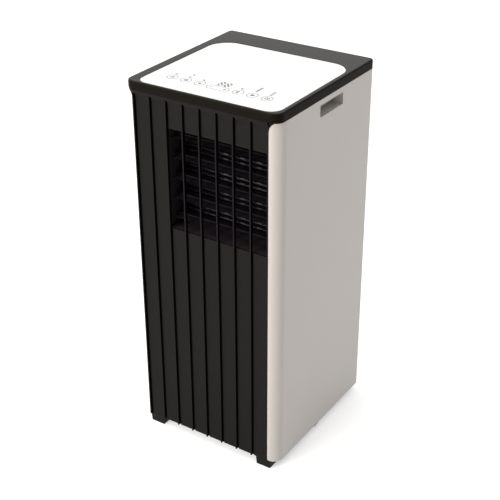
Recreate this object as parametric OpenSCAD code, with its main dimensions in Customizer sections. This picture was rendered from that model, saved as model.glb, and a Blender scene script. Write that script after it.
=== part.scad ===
// Portable air conditioner: a tall cabinet with a ribbed front, a side-to-side air outlet,
// a flush touch panel on top, two blowers, a compressor circuit and pull-out filters.
// Millimetres. Origin on the floor under the middle of the cabinet, front faces -Y, +Z up.

/* [Cabinet] */
// Overall width, over the top frame
cabinet_w = 284; // [272:1:360]
// Overall depth, over the top frame
cabinet_d = 298; // [292:1:380]
// Overall height, floor to top frame
cabinet_h = 658; // [650:1:820]
// Height of the cabinet's lower edge over the floor
ground_gap = 15; // [12:1:22]
// Moulded wall thickness of the outer panels
panel_t = 2.5; // [2:0.1:4]
// Gap left between neighbouring panels
seam_gap = 0.4; // [0.2:0.1:0.8]

/* [Top frame] */
// Height of the black top frame
rim_h = 15.5; // [12:0.5:20]
// Plan radius of the frame's front corners
rim_corner_r = 16; // [10:1:24]
// Plan radius of the rear corners
back_corner_r = 8; // [6:1:14]
// Radius of the frame's rolled upper edge
rim_edge_r = 3; // [1:0.5:5]
// Width of the frame's band on the left
band_left = 17.5; // [8:0.5:20]
// Width of the frame's band on the right
band_right = 8; // [8:0.5:20]
// Width of the frame's band at the front
band_front = 5; // [4:0.5:10]
// Width of the frame's band at the back
band_back = 55; // [25:1:70]
// Plan radius of the touch panel's front corners
touch_front_r = 21; // [8:1:40]
// Plan radius of the touch panel's back corners
touch_back_r = 38; // [8:1:60]
// Depth of the touch panel's face below the frame's top
touch_recess = 0.8; // [0.4:0.1:2]
// Thickness of the touch panel
touch_t = 3; // [2:0.5:4]

/* [Front panel] */
// How far the front face sits behind the top frame's front
front_setback = 5.6; // [4:0.1:8]
// Upright height of the frame's front above the flare
brow_h = 9.5; // [8:0.5:12]
// Height over which the front swells out to the frame's front
flare_h = 22; // [16:1:30]
// How far the left side of the front panel sits inside the frame
left_inset = 3.3; // [2:0.1:6]
// Plan radius of the front panel's left corner
corner_r = 12.4; // [6:0.1:16]
// Length of the front panel's return along the left side
return_len = 26; // [20:1:40]
// Number of upright ribs
rib_count = 8; // [4:1:9]
// Distance between ribs
rib_pitch = 31.3; // [26:0.1:33]
// Width of a rib
rib_w = 2.2; // [1.5:0.1:4]
// How far a rib stands proud
rib_proud = 3; // [1.5:0.1:4]
// Width of the groove beside each rib
groove_w = 3; // [1.5:0.1:4]
// Depth of the groove beside each rib
groove_depth = 1.4; // [0.6:0.1:1.6]
// Distance from the cabinet's top down to the ends of the grooves
groove_drop = 20.5; // [18:0.5:28]

/* [Air outlet] */
// Lower edge of the outlet
outlet_z = 416; // [405:1:430]
// Height of the outlet
outlet_h = 175; // [150:1:185]
// Rib after which the outlet starts, counted from the left
outlet_first_rib = 2; // [1:1:4]
// Chord of a louvre blade
blade_chord = 34; // [24:1:36]
// Thickness of a louvre blade at its middle
blade_t = 3; // [2:0.2:4]
// Radius of a louvre blade's pivot
blade_pivot_r = 2.9; // [2:0.1:3.5]
// Distance from a blade's pivot to its link pin
crank_len = 12; // [8:0.5:14]
// Pitch of the fixed slats behind the blades
slat_pitch = 8.75; // [8:0.25:16]
// Depth of the fixed slats
slat_d = 10; // [4:0.5:10]
// Depth of the outlet duct
duct_len = 50; // [49:1:52]

/* [Side panels] */
// Plan radius of the right panel's front edge
wrap_r = 20; // [12:1:22]
// Radius of the right panel's top front corner, seen from the front
wrap_top_r = 11; // [4:1:16]
// Length of a handle recess
grip_len = 72; // [60:1:100]
// Height of a handle recess
grip_h = 20; // [18:1:32]
// Depth of a handle recess
grip_depth = 20; // [16:1:26]
// Distance from the top frame down to the handle recess
grip_drop = 9.5; // [8:0.5:20]
// Distance of the handle recess's middle behind the cabinet's middle
grip_y = 9; // [0:1:30]

/* [Rear] */
// Half width of the intake windows
window_half_w = 106; // [90:1:107]
// Lower edge of the upper intake window
upper_window_z = 428; // [424:1:440]
// Height of the upper intake window
upper_window_h = 194; // [160:1:200]
// Lower edge of the lower intake window
lower_window_z = 84; // [78:1:90]
// Height of the lower intake window
lower_window_h = 128; // [100:1:132]
// Bore radius of the exhaust collar
exhaust_r = 71; // [60:1:71]
// Height of the exhaust collar's axis
exhaust_z = 306; // [304:1:308]
// Wall of the exhaust collar
collar_t = 5; // [3:0.5:6]
// Outside radius of a drain spout
spout_r = 7; // [6:0.5:8]
// Bore radius of a drain spout
spout_bore_r = 5; // [4:0.5:5.5]

/* [Blowers] */
// Radius of the upper blower wheel
upper_wheel_r = 72; // [60:1:73]
// Radius of the lower blower wheel
lower_wheel_r = 61; // [50:1:62]
// Number of blades on each blower wheel
vane_count = 24; // [16:1:32]
// Radial depth of a blower blade
vane_depth = 12; // [8:1:16]
// Thickness of a blower blade
vane_t = 1.6; // [1.2:0.1:2.5]
// Radius of a fan motor
motor_r = 38; // [30:1:42]
// Shaft radius of a fan motor
shaft_r = 4; // [3:0.5:5]

/* [Cold circuit] */
// Radius of the compressor's can
comp_r = 48; // [40:1:49]
// Height of the compressor's can
comp_h = 208; // [160:1:210]
// Radius of the accumulator
accu_r = 22; // [16:1:23]
// Thickness of the coils
coil_t = 22; // [14:1:24]
// Number of fins drawn on each coil
fin_count = 22; // [10:1:28]
// Radius of a coil's tubes
coil_tube_r = 3.5; // [2.5:0.5:4]
// Radius of the large refrigerant pipes
pipe_r = 4; // [3:0.5:5]

/* [Supports] */
// Width of a front foot
foot_w = 30; // [22:1:34]
// Depth of a front foot
foot_d = 34; // [24:1:40]
// Distance of a front foot's middle from the centre line
foot_x = 114; // [100:1:115]
// Radius of a caster's wheels
caster_r = 17; // [14:1:18]
// Trail of a caster's axle behind its stem
caster_trail = 9; // [6:0.5:10]
// Distance of a caster's stem from the centre line
caster_x = 98; // [80:1:100]
// Radius of a caster's stem
stem_r = 4; // [3:0.5:5]

/* [Hidden] */
$fn = 48;
fit = 0.4;
run = 0.05;
duct_t = 2;
blade_count = 5;
link_pin_r = 1.4;
right_x = cabinet_w / 2;
left_x = -cabinet_w / 2 + left_inset;
front_y = -cabinet_d / 2;
back_y = cabinet_d / 2;
rim_z = cabinet_h - rim_h;
strip_y = front_y + front_setback;
inner_y = strip_y + panel_t;
seam_x = right_x - wrap_r;
return_y = strip_y + return_len;
side_in_x = right_x - panel_t;
side_top = rim_z - seam_gap;
brow_z = cabinet_h - brow_h;
flare_z = brow_z - flare_h;
first_rib_x = seam_x - rib_count * rib_pitch;
groove_top = cabinet_h - groove_drop - groove_w / 2;
outlet_x0 = first_rib_x + outlet_first_rib * rib_pitch - rib_w;
outlet_x1 = seam_x - 2.6;
duct_y0 = inner_y;
duct_y1 = inner_y + duct_len;
blade_y = duct_y0 + 4.5 + blade_chord / 2;
blade_pitch = outlet_h / blade_count;
grip_z = rim_z - grip_drop - grip_h;
rear_y = back_y - 2;
rear_in_y = rear_y - panel_t;
rear_half_w = right_x - back_corner_r - 6 - seam_gap;
pan_z = 42;
pan_t = 3;
pan_wall_h = 25;
pan_x = side_in_x - seam_gap;
pan_y0 = inner_y + seam_gap;
pan_y1 = rear_in_y - seam_gap;
deck_z = 388;
deck_t = 4;
coil_y1 = rear_in_y - 12;
coil_y0 = coil_y1 - coil_t;
coil_mid_y = (coil_y0 + coil_y1) / 2;
evap_x = 108;
evap_rows = 7;
evap_z = deck_z + deck_t;
evap_pitch = (upper_window_z + upper_window_h - evap_z) / evap_rows;
cond_x = 112;
cond_rows = 5;
cond_z = pan_z + pan_t + 9;
cond_top = exhaust_z - exhaust_r - 12;
cond_pitch = (cond_top - cond_z) / cond_rows;
bend_reach = 2 + coil_t * 0.2 + coil_tube_r + 0.3;
suction_x = -128.5;
liquid_x = -131.2;
discharge_x = -133.5;
liquid_y = coil_mid_y + 10;
upper_axis = [8, 492];
lower_axis = [5, 292];
upper_reach = outlet_z + outlet_h - upper_axis[1];
lower_reach = exhaust_z + exhaust_r + 3 - lower_axis[1];
upper_case_y = duct_y1;
lower_case_x = [-20, 90];
lower_case_y = 84;
exhaust_x = (lower_case_x[0] + lower_case_x[1]) / 2;
comp_x = -76;
comp_y = -56;
comp_z = pan_z + pan_t + 12;
comp_foot_r = comp_r + 6;
comp_top = comp_z + 2.6 + comp_h;
accu_x = -101;
accu_y = 19;
accu_z = 110;
accu_h = 116;
spout_x = -90;
upper_spout_z = 402;
lower_spout_z = 57;
gland_x = 95;
gland_z = 57;
gland_r = 9;
caster_y = 98;
splash_x = -40;
splash_z = 74;
float_x = 30;
float_y = 70;
float_post_r = 3;
touch_z = cabinet_h - touch_recess;
touch_y0 = front_y + band_front;
touch_y1 = back_y - band_back;
board_y = -93;
board_t = 1.6;

// ---------- outlines and small helpers ----------

function arc(c, r, a0, a1, n) =
  [for (i = [0 : n]) let (a = a0 + (a1 - a0) * i / n) [c[0] + r * cos(a), c[1] + r * sin(a)]];

// rectangle from corner p to corner q
module span2(p, q) {
  translate(p) square([q[0] - p[0], q[1] - p[1]]);
}

module span3(p, q) {
  translate(p) cube([q[0] - p[0], q[1] - p[1], q[2] - p[2]]);
}

// rounded rectangle from p to q, radius ra at the low-y corners and rb at the high-y ones
module soft_plan(p, q, ra, rb) {
  span2([p[0] + ra, p[1]], [q[0] - ra, p[1] + max(ra, rb)]);
  span2([p[0], p[1] + ra], [q[0], q[1] - rb]);
  span2([p[0] + rb, q[1] - rb - 1], [q[0] - rb, q[1]]);
  for (x = [p[0] + ra, q[0] - ra]) translate([x, p[1] + ra]) circle(ra);
  for (x = [p[0] + rb, q[0] - rb]) translate([x, q[1] - rb]) circle(rb);
}

// closed body through rings of equally many points, low ring first, each ring anticlockwise
module skin(rings) {
  n = len(rings[0]);
  m = len(rings);
  sides = [for (k = [0 : m - 2], i = [0 : n - 1])
    [k * n + i, (k + 1) * n + i, (k + 1) * n + (i + 1) % n, k * n + (i + 1) % n]];
  low = [[for (i = [0 : n - 1]) i]];
  high = [[for (i = [n - 1 : -1 : 0]) (m - 1) * n + i]];
  polyhedron([for (r = rings, p = r) p], concat(sides, low, high));
}

// ring of a rounded rectangle from p to q at height z, radius ra at its low-y corners, rb at the others
function plan_ring(p, q, ra, rb, z, n = 8) = [for (v = concat(
  arc([q[0] - rb, q[1] - rb], rb, 0, 90, n), arc([p[0] + rb, q[1] - rb], rb, 90, 180, n),
  arc([p[0] + ra, p[1] + ra], ra, 180, 270, n), arc([q[0] - ra, p[1] + ra], ra, 270, 360, n)))
  [v[0], v[1], z]];

// quarter ring wall between radii r - t and r, in the quadrant [sx, sy]
module corner_wall(c, r, t, sx, sy) {
  translate(c) intersection() {
    difference() {
      circle(r);
      circle(r - t);
    }
    scale([sx, sy]) square(r + 1);
  }
}

// extrudes a y-z outline along x
module along_x(x0, x1) {
  translate([x0, 0, 0]) rotate([90, 0, 90]) linear_extrude(x1 - x0) children();
}

// extrudes an x-z outline along y
module along_y(y0, y1) {
  translate([0, y1, 0]) rotate([90, 0, 0]) linear_extrude(y1 - y0) children();
}

module rod_x(p, r, l) {
  translate(p) rotate([0, 90, 0]) cylinder(r = r, h = l);
}

module rod_y(p, r, l) {
  translate(p) rotate([-90, 0, 0]) cylinder(r = r, h = l);
}

// ---------- swept pipe ----------

function unit(v) = v / norm(v);
function blend_corner(a, b, c, r, n) =
  let (p = b + unit(a - b) * r, q = b + unit(c - b) * r)
  [for (i = [0 : n]) let (t = i / n) p * (1 - t) * (1 - t) + b * 2 * t * (1 - t) + q * t * t];
function soft_path(p, r, n = 4) = concat(
  [p[0]],
  [for (i = [1 : len(p) - 2]) each blend_corner(p[i - 1], p[i], p[i + 1], r, n)],
  [p[len(p) - 1]]);
function tangent(p, i) = unit(p[min(i + 1, len(p) - 1)] - p[max(i - 1, 0)]);
function carry(p, i, u) =
  let (t = tangent(p, i), v = unit(u - t * (u * t)))
  i == len(p) - 1 ? [v] : concat([v], carry(p, i + 1, v));
function pipe_rings(p, r, n, u0) =
  let (us = carry(p, 0, u0))
  [for (i = [0 : len(p) - 1]) let (t = tangent(p, i), u = us[i], w = cross(t, u))
    [for (k = [0 : n - 1]) p[i] + r * (u * cos(360 * k / n) + w * sin(360 * k / n))]];

module pipe(corners, r, bend, start_side, n = 10) {
  skin(pipe_rings(soft_path(corners, bend), r, n, start_side));
}

// ---------- outer panels ----------

// how far out the front has swelled at height z: 0 under the flare, 1 on the upright brow
function swell(z) =
  let (t = min(1, max(0, (z - flare_z) / flare_h)))
  t < 0.5 ? 2 * t * t : 1 - 2 * (1 - t) * (1 - t);

// outline of the black front at height z, from the left side round to well past the seam
function front_ring(z) =
  let (s = swell(z), d = 1 - s, r = corner_r * d + rim_corner_r * s)
  plan_ring([-right_x + left_inset * d, front_y + front_setback * d], [right_x, return_y + 9], r, 4, z);

module front_shell() {
  difference() {
    intersection() {
      skin([for (z = concat([0, flare_z], [for (k = [1 : 12]) flare_z + flare_h * k / 12])) front_ring(z)]);
      span3([-right_x - 1, front_y - 1, ground_gap], [seam_x, return_y, rim_z]);
    }
    linear_extrude(cabinet_h) soft_plan([left_x + panel_t, inner_y], [right_x + 9, return_y + 20],
      corner_r - panel_t, 4);
  }
}

// upright groove beside a rib, with a round upper end, cut down to d behind the face
module groove(x, d) {
  along_y(front_y - 1, strip_y + d) {
    span2([x, ground_gap - 1], [x + groove_w, groove_top]);
    translate([x + groove_w / 2, groove_top]) circle(groove_w / 2);
  }
}

module front_panel() {
  color("#26241f") {
    difference() {
      front_shell();
      for (i = [0 : rib_count - 1])
        groove(first_rib_x + i * rib_pitch + rib_w / 2, groove_depth);
      span3([outlet_x0, front_y, outlet_z], [outlet_x1, inner_y + 1, outlet_z + outlet_h]);
    }
    for (i = [0 : rib_count - 1]) let (x = first_rib_x + i * rib_pitch)
      span3([x - rib_w / 2, strip_y - rib_proud, ground_gap], [x + rib_w / 2, inner_y, rim_z - 1]);
    // backing behind the rounded corner of the right panel
    translate([0, 0, flare_z - 8]) linear_extrude(rim_z - flare_z + 8) {
      corner_wall([seam_x, strip_y + wrap_r], wrap_r - panel_t - seam_gap, panel_t, 1, -1);
      span2([seam_x - 8, inner_y], [seam_x, inner_y + panel_t + seam_gap]);
    }
  }
}

module grip_hole(side) {
  x = side > 0 ? right_x - panel_t - 1 : -right_x - 1;
  translate([x, 0, 0]) along_x(0, panel_t + 2)
    soft_plan([grip_y - grip_len / 2, grip_z], [grip_y + grip_len / 2, grip_z + grip_h], 2.5, 2.5);
}

module side_back_plan() {
  span2([side_in_x, grip_y], [right_x, back_y - back_corner_r]);
  corner_wall([right_x - back_corner_r, back_y - back_corner_r], back_corner_r, panel_t, 1, 1);
  span2([right_x - back_corner_r - 6, back_y - panel_t], [right_x - back_corner_r, back_y]);
}

module right_side_panel() {
  color("#d8d5d0") difference() {
    translate([0, 0, ground_gap]) linear_extrude(side_top - ground_gap) {
      corner_wall([seam_x, strip_y + wrap_r], wrap_r, panel_t, 1, -1);
      span2([side_in_x, strip_y + wrap_r], [right_x, grip_y]);
      side_back_plan();
    }
    grip_hole(1);
    wrap_corner(side_top, 1, wrap_top_r);
    wrap_corner(ground_gap, -1, wrap_top_r / 2);
  }
}

// cuts the wrapped edge's corner round, seen from the front
module wrap_corner(z, up, r) {
  along_y(front_y, strip_y + wrap_r) translate([seam_x, z]) scale([1, up]) difference() {
    translate([-1, -r]) square([r + 0.6, r + 1]);
    translate([r - 0.4, -r]) circle(r);
  }
}

module left_side_panel() {
  color("#d8d5d0") mirror([1, 0, 0]) difference() {
    translate([0, 0, ground_gap]) linear_extrude(side_top - ground_gap) {
      span2([side_in_x, return_y + seam_gap], [right_x, grip_y]);
      side_back_plan();
    }
    grip_hole(1);
  }
}

module window_lip(z0, h) {
  difference() {
    span3([-window_half_w - 3, rear_in_y - 4, z0 - 3], [window_half_w + 3, rear_in_y, z0 + h + 3]);
    span3([-window_half_w, rear_in_y - 5, z0], [window_half_w, rear_in_y + 1, z0 + h]);
  }
}

module rear_panel() {
  color("#cfccc6") difference() {
    union() {
      span3([-rear_half_w, rear_in_y, ground_gap], [rear_half_w, rear_y, side_top]);
      window_lip(upper_window_z, upper_window_h);
      window_lip(lower_window_z, lower_window_h);
      rod_y([exhaust_x, rear_in_y - 4, exhaust_z], exhaust_r + collar_t + 3, 4.5);
    }
    for (w = [[upper_window_z, upper_window_h], [lower_window_z, lower_window_h]])
      span3([-window_half_w, rear_in_y - 6, w[0]], [window_half_w, rear_y + 1, w[0] + w[1]]);
    rod_y([exhaust_x, rear_in_y - 6, exhaust_z], exhaust_r + collar_t + fit, 20);
    for (z = [upper_spout_z, lower_spout_z])
      rod_y([spout_x, rear_in_y - 6, z], spout_r + fit, 20);
    rod_y([gland_x, rear_in_y - 6, gland_z], gland_r + fit, 20);
  }
}

// frame's outline at height z, drawn in by d all round, its front following the flare
function frame_ring(z, d) = plan_ring([-right_x + d, front_y + front_setback * (1 - swell(z)) + d],
  [right_x - d, back_y - d], rim_corner_r - d, back_corner_r - d, z);

// slab with a rolled upper edge
module frame_slab() {
  skin(concat(
    [for (k = [0 : 3]) frame_ring(rim_z + (brow_z - rim_z) * k / 3, 0)],
    [for (k = [0 : 4]) let (a = 90 * k / 4)
      frame_ring(cabinet_h - rim_edge_r * (1 - sin(a)), rim_edge_r * (1 - cos(a)))]));
}

module touch_plan(grow) {
  soft_plan([-right_x + band_left - grow, touch_y0 - grow],
    [right_x - band_right + grow, touch_y1 + grow], touch_front_r + grow, touch_back_r + grow);
}

module top_frame() {
  color("#3c3934") difference() {
    frame_slab();
    translate([0, 0, touch_z - touch_t]) linear_extrude(20) touch_plan(0);
    // hollow underside
    translate([0, 0, rim_z - 1]) linear_extrude(touch_z - touch_t - 3 - rim_z + 1)
      soft_plan([-right_x + 14, front_y + 14], [right_x - 14, back_y - 14], 8, 8);
    // well for the control board
    span3([-112, front_y + 22, rim_z], [112, -40, cabinet_h]);
  }
}

module touch_panel() {
  color("#f7f6f3") {
    translate([0, 0, touch_z - touch_t]) linear_extrude(touch_t) touch_plan(-0.15);
    for (x = [-92, 92], y = [board_y - 26, board_y + 26])
      translate([x, y, touch_z - touch_t - 4]) cylinder(r = 3, h = 4.5);
  }
}

module display_module() {
  color("#2a2a2c") translate([-16, board_y - 3, touch_z - touch_t - 4]) cube([32, 20, 3.8]);
}

module control_board() {
  color("#1f6b45") {
    translate([-100, board_y - 32, touch_z - touch_t - 4 - board_t]) cube([200, 64, board_t]);
    for (x = [-70 : 28 : 70]) translate([x, board_y - 16, touch_z - touch_t - 4.2 - board_t - 3])
      cube([12, 8, 3.4]);
  }
}

module cup(side) {
  x1 = right_x - panel_t - fit;
  x0 = right_x - grip_depth - 2;
  mirror([side > 0 ? 0 : 1, 0, 0]) difference() {
    union() {
      along_x(x0, x1) soft_plan([grip_y - grip_len / 2 - 2, grip_z - 2],
        [grip_y + grip_len / 2 + 2, grip_z + grip_h + 2], 4.5, 4.5);
      along_x(x1 - 2, x1) soft_plan([grip_y - grip_len / 2 - 6, grip_z - 6],
        [grip_y + grip_len / 2 + 6, grip_z + grip_h + 5], 5, 5);
    }
    along_x(x0 + 2, x1 + 1) soft_plan([grip_y - grip_len / 2, grip_z],
      [grip_y + grip_len / 2, grip_z + grip_h], 2.5, 2.5);
  }
}

module right_handle_cup() {
  color("#6a655e") cup(1);
}

module left_handle_cup() {
  color("#6a655e") cup(-1);
}

// ---------- air outlet ----------

function blade_z(i) = outlet_z + outlet_h - blade_pitch * (i - 0.5);

module outlet_duct() {
  color("#1a181b") difference() {
    span3([outlet_x0 - duct_t, duct_y0, outlet_z - duct_t],
      [outlet_x1 + duct_t, duct_y1, outlet_z + outlet_h + duct_t]);
    span3([outlet_x0, duct_y0 - 1, outlet_z], [outlet_x1, duct_y1 + 1, outlet_z + outlet_h]);
    for (i = [1 : blade_count])
      rod_x([outlet_x0 - 5, blade_y, blade_z(i)], blade_pivot_r + run, outlet_x1 - outlet_x0 + 10);
  }
}

// grille of fixed slats, with an upright behind each rib
module outlet_slats() {
  slats_n = floor((outlet_h - 6) / slat_pitch);
  y0 = duct_y1 - slat_d - 0.5;
  y1 = y0 + slat_d;
  color("#201d21") {
    difference() {
      span3([outlet_x0 + fit, y0, outlet_z + fit], [outlet_x1 - fit, y1, outlet_z + outlet_h - fit]);
      span3([outlet_x0 + 3, y0 - 1, outlet_z + 3], [outlet_x1 - 3, y1 + 1, outlet_z + outlet_h - 3]);
    }
    for (i = [1 : slats_n - 1]) translate([outlet_x0 + 2, y0, outlet_z + 3 + i * slat_pitch])
      cube([outlet_x1 - outlet_x0 - 4, slat_d, 1.2]);
    for (i = [outlet_first_rib + 1 : rib_count - 1])
      translate([first_rib_x + i * rib_pitch - 1, y1 - slat_d / 2, outlet_z + 2])
        cube([2, slat_d / 2, outlet_h - 4]);
  }
}

// lens section: two arcs that meet at the leading and trailing edges
module blade_section() {
  r = (blade_chord * blade_chord / 4 + blade_t * blade_t / 4) / blade_t;
  intersection() {
    translate([0, r - blade_t / 2]) circle(r, $fn = 180);
    translate([0, blade_t / 2 - r]) circle(r, $fn = 180);
  }
}

module louvre_blade(i) {
  color("#161417") translate([0, blade_y, blade_z(i)]) {
    along_x(outlet_x0 + 3.2, outlet_x1 - 0.6) {
      blade_section();
      circle(blade_pivot_r);
    }
    rod_x([outlet_x0 - duct_t, 0, 0], blade_pivot_r, 6);
    rod_x([outlet_x1 - 1, 0, 0], blade_pivot_r, 1 + duct_t);
    rod_x([outlet_x0 + 0.8, crank_len, 0], link_pin_r, 3);
    if (i == blade_count) rod_x([outlet_x0 - duct_t - 7, 0, 0], blade_pivot_r, 8);
  }
}

module louvre_blade_1() louvre_blade(1);
module louvre_blade_2() louvre_blade(2);
module louvre_blade_3() louvre_blade(3);
module louvre_blade_4() louvre_blade(4);
module louvre_blade_5() louvre_blade(5);

module louvre_link() {
  z0 = blade_z(blade_count);
  z1 = blade_z(1);
  color("#2b282c") difference() {
    along_x(outlet_x0 + 0.8, outlet_x0 + 2.6) {
      span2([blade_y + crank_len - 3, z0], [blade_y + crank_len + 3, z1]);
      for (z = [z0, z1]) translate([blade_y + crank_len, z]) circle(3);
    }
    for (i = [1 : blade_count])
      rod_x([outlet_x0, blade_y + crank_len, blade_z(i)], link_pin_r + run, 5);
  }
}

module louvre_motor() {
  x1 = outlet_x0 - duct_t;
  color("#c9c7c0") difference() {
    union() {
      rod_x([x1 - 20, blade_y, blade_z(blade_count)], 14, 20);
      along_x(x1 - 3, x1) {
        span2([blade_y - 3.5, blade_z(blade_count) - 17], [blade_y + 3.5, blade_z(blade_count) + 17]);
        for (s = [-1, 1]) translate([blade_y, blade_z(blade_count) + s * 17]) circle(3.5);
      }
    }
    rod_x([x1 - 8, blade_y, blade_z(blade_count)], blade_pivot_r + run, 12);
  }
}

// ---------- decks and coils ----------

module middle_deck() {
  tray_y0 = coil_y0 - 4;
  tray_z = deck_z + deck_t;
  color("#3b3b3d") difference() {
    union() {
      translate([0, 0, deck_z]) linear_extrude(deck_t) pan_plan(0);
      difference() {
        span3([-evap_x - 6, tray_y0, tray_z - 1], [evap_x + 6, coil_y1 + 4, tray_z + 12]);
        span3([-evap_x - 4, tray_y0 + 2, tray_z], [evap_x + 4, coil_y1 + 2, tray_z + 13]);
      }
    }
    // ways through for the pipes and the tray's drain
    translate([suction_x, coil_mid_y, deck_z - 1]) cylinder(r = pipe_r + 1.5, h = 8);
    translate([liquid_x, liquid_y, deck_z - 1]) cylinder(r = 3, h = 8);
    rod_y([spout_x, coil_y1 + 1, upper_spout_z], spout_bore_r, 4);
  }
}

// finned coil; its end plates stand foot lower than its fins
module coil(x0, x1, z0, z1, rows, foot) {
  tube_pitch = (z1 - z0) / rows;
  color("#c7c9cb") {
    for (x = [x0, x1 - 1.2]) span3([x, coil_y0, z0 - foot], [x + 1.2, coil_y1, z1]);
    for (i = [1 : fin_count]) let (x = x0 + i * (x1 - x0) / (fin_count + 1))
      span3([x - 0.35, coil_y0, z0], [x + 0.35, coil_y1, z1]);
  }
  color("#b87344") {
    for (k = [0 : rows - 1], y = [coil_y0 + coil_t * 0.3, coil_y0 + coil_t * 0.7])
      rod_x([x0 - 2, y, z0 + (k + 0.5) * tube_pitch], coil_tube_r, x1 - x0 + 4);
    // return bends join the front and back tube of each row
    for (k = [0 : rows - 1], s = [-1, 1])
      translate([s > 0 ? x1 + 2 : x0 - 2, coil_y0 + coil_t / 2, z0 + (k + 0.5) * tube_pitch])
        scale([s, 1, 1]) rotate_extrude_x(coil_t * 0.2, coil_tube_r);
  }
}

// half ring bulging towards +x, between two tubes 2r apart in y
module rotate_extrude_x(r, tube) {
  rotate([0, 0, -90]) rotate_extrude(angle = 180) translate([r, 0]) circle(tube);
}

module evaporator_coil() {
  coil(-evap_x, evap_x, deck_z + deck_t, upper_window_z + upper_window_h, evap_rows, 0);
}

module condenser_coil() {
  coil(-cond_x, cond_x, cond_z, cond_top, cond_rows, cond_z - pan_z - pan_t);
}

// ---------- blowers ----------

// scroll outline in the y-z plane: spiral from the tongue round to the top, then the throat.
// c is the wheel's centre, r0 the tongue radius, r1 the reach at the top, mouth the y of the throat's
// end, sill the height of its lower edge, and grow the wall added outside
function scroll_outline(c, r0, r1, mouth, sill, grow) = concat(
  [for (a = [200 : 10 : 450]) let (r = r0 + (r1 - r0) * (a - 200) / 250 + grow)
    [c[0] + r * cos(a), c[1] + r * sin(a)]],
  [[mouth, c[1] + r1 + grow], [mouth, sill - grow]]);

module blower_case(c, r0, r1, mouth, sill, x0, x1, inlet_r) {
  difference() {
    along_x(x0 - duct_t, x1 + duct_t) polygon(scroll_outline(c, r0, r1, mouth, sill, duct_t));
    along_x(x0, x1) polygon(concat(
      scroll_outline(c, r0, r1, mouth, sill, 0), []));
    span3([x0, mouth - 1, sill], [x1, mouth + 1, c[1] + r1]);
    rod_x([x0 - 10, c[0], c[1]], inlet_r, x1 - x0 + 20);
  }
}

// one forward-curved blade as a bowed strip between two radii
module vane(r_out) {
  n = 5;
  bow = 40;
  r0 = r_out - vane_depth + 0.4;
  outer = [for (i = [0 : n]) let (t = i / n, r = r0 + (vane_depth + 0.4) * t, a = bow * t * t / 2)
    [r * cos(a), r * sin(a)]];
  inner = [for (i = [n : -1 : 0]) let (t = i / n, r = r0 + (vane_depth + 0.4) * t, a = bow * t * t / 2)
    [r * cos(a) - vane_t * sin(a + 20), r * sin(a) + vane_t * cos(a + 20)]];
  polygon(concat(outer, inner));
}

module blower_wheel(c, r, x0, x1, hub_x) {
  color("#3c3b3f") translate([0, c[0], c[1]]) difference() {
    union() {
      intersection() {
        along_x(x0, x1) for (i = [0 : vane_count - 1]) rotate(360 * i / vane_count) vane(r);
        rod_x([x0 - 1, 0, 0], r, x1 - x0 + 2);
      }
      for (x = [x0, x1 - 3]) translate([x, 0, 0]) difference() {
        rod_x([0, 0, 0], r, 3);
        rod_x([-1, 0, 0], r - vane_depth, 5);
      }
      rod_x([hub_x, 0, 0], r - 1, 3);
      rod_x([hub_x - 9, 0, 0], shaft_r + 6, 21);
    }
    rod_x([hub_x - 12, 0, 0], shaft_r + run, 30);
  }
}

// motor with a shaft towards +x; its three arms land on the blower case
module fan_motor(c, x0, x1, shaft_x, arm_x, arm_r) {
  color("#55585c") translate([0, c[0], c[1]]) {
    rotate([90, 0, 90]) translate([0, 0, x0]) rotate_extrude() {
      square([motor_r - 4, x1 - x0]);
      translate([0, 4]) square([motor_r, x1 - x0 - 8]);
      translate([motor_r - 4, 4]) circle(4);
      translate([motor_r - 4, x1 - x0 - 4]) circle(4);
    }
    rod_x([min(x1, shaft_x), 0, 0], shaft_r, abs(shaft_x - x1));
    for (a = [30, 150, 270]) rotate([a, 0, 0])
      translate([arm_x - 1, -6, motor_r - 16]) cube([4, 12, arm_r - motor_r + 16]);
  }
}

upper_x0 = outlet_x0;
upper_x1 = outlet_x1;
upper_r0 = upper_wheel_r + 6;
lower_r0 = lower_wheel_r + 6;
inlet_gap = 8;

module upper_blower_case() {
  color("#2e2c2f") {
    blower_case(upper_axis, upper_r0, upper_reach, upper_case_y, outlet_z, upper_x0, upper_x1,
      upper_wheel_r - inlet_gap);
    for (x = [upper_x0 - duct_t, upper_x1 - 20]) difference() {
      span3([x, upper_axis[0] - 30, deck_z + deck_t], [x + 22, upper_axis[0] + 30, upper_axis[1] - 78]);
      along_x(x - 1, x + 23)
        polygon(scroll_outline(upper_axis, upper_r0, upper_reach, upper_case_y, outlet_z, duct_t - 0.5));
    }
  }
}

module upper_blower_wheel() {
  blower_wheel(upper_axis, upper_wheel_r, upper_x0 + 8, upper_x1 - 8, upper_x0 + 40);
}

module upper_fan_motor() {
  fan_motor(upper_axis, upper_x0 - duct_t - 46, upper_x0 - duct_t - 3, upper_x0 + 48,
    upper_x0 - duct_t - 3, upper_wheel_r + 4);
}

module lower_blower_case() {
  color("#2e2c2f") {
    mirror([0, 1, 0]) blower_case([-lower_axis[0], lower_axis[1]], lower_r0, lower_reach,
      -lower_case_y, exhaust_z - exhaust_r - 2, lower_case_x[0], lower_case_x[1],
      lower_wheel_r - inlet_gap);
    // hangers up to the deck
    for (x = [lower_case_x[0] - duct_t, lower_case_x[1] - 12])
      span3([x, lower_axis[0] - 5, lower_axis[1] + lower_reach + 0.5], [x + 14, lower_axis[0] + 50, deck_z]);
  }
}

module lower_blower_wheel() {
  blower_wheel(lower_axis, lower_wheel_r, lower_case_x[0] + 7, lower_case_x[1] - 7, lower_case_x[1] - 30);
}

module lower_fan_motor() {
  mirror([1, 0, 0]) fan_motor(lower_axis, -lower_case_x[1] - duct_t - 43, -lower_case_x[1] - duct_t - 3,
    -lower_case_x[1] + 35, -lower_case_x[1] - duct_t - 3, lower_wheel_r + 4);
}

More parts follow.
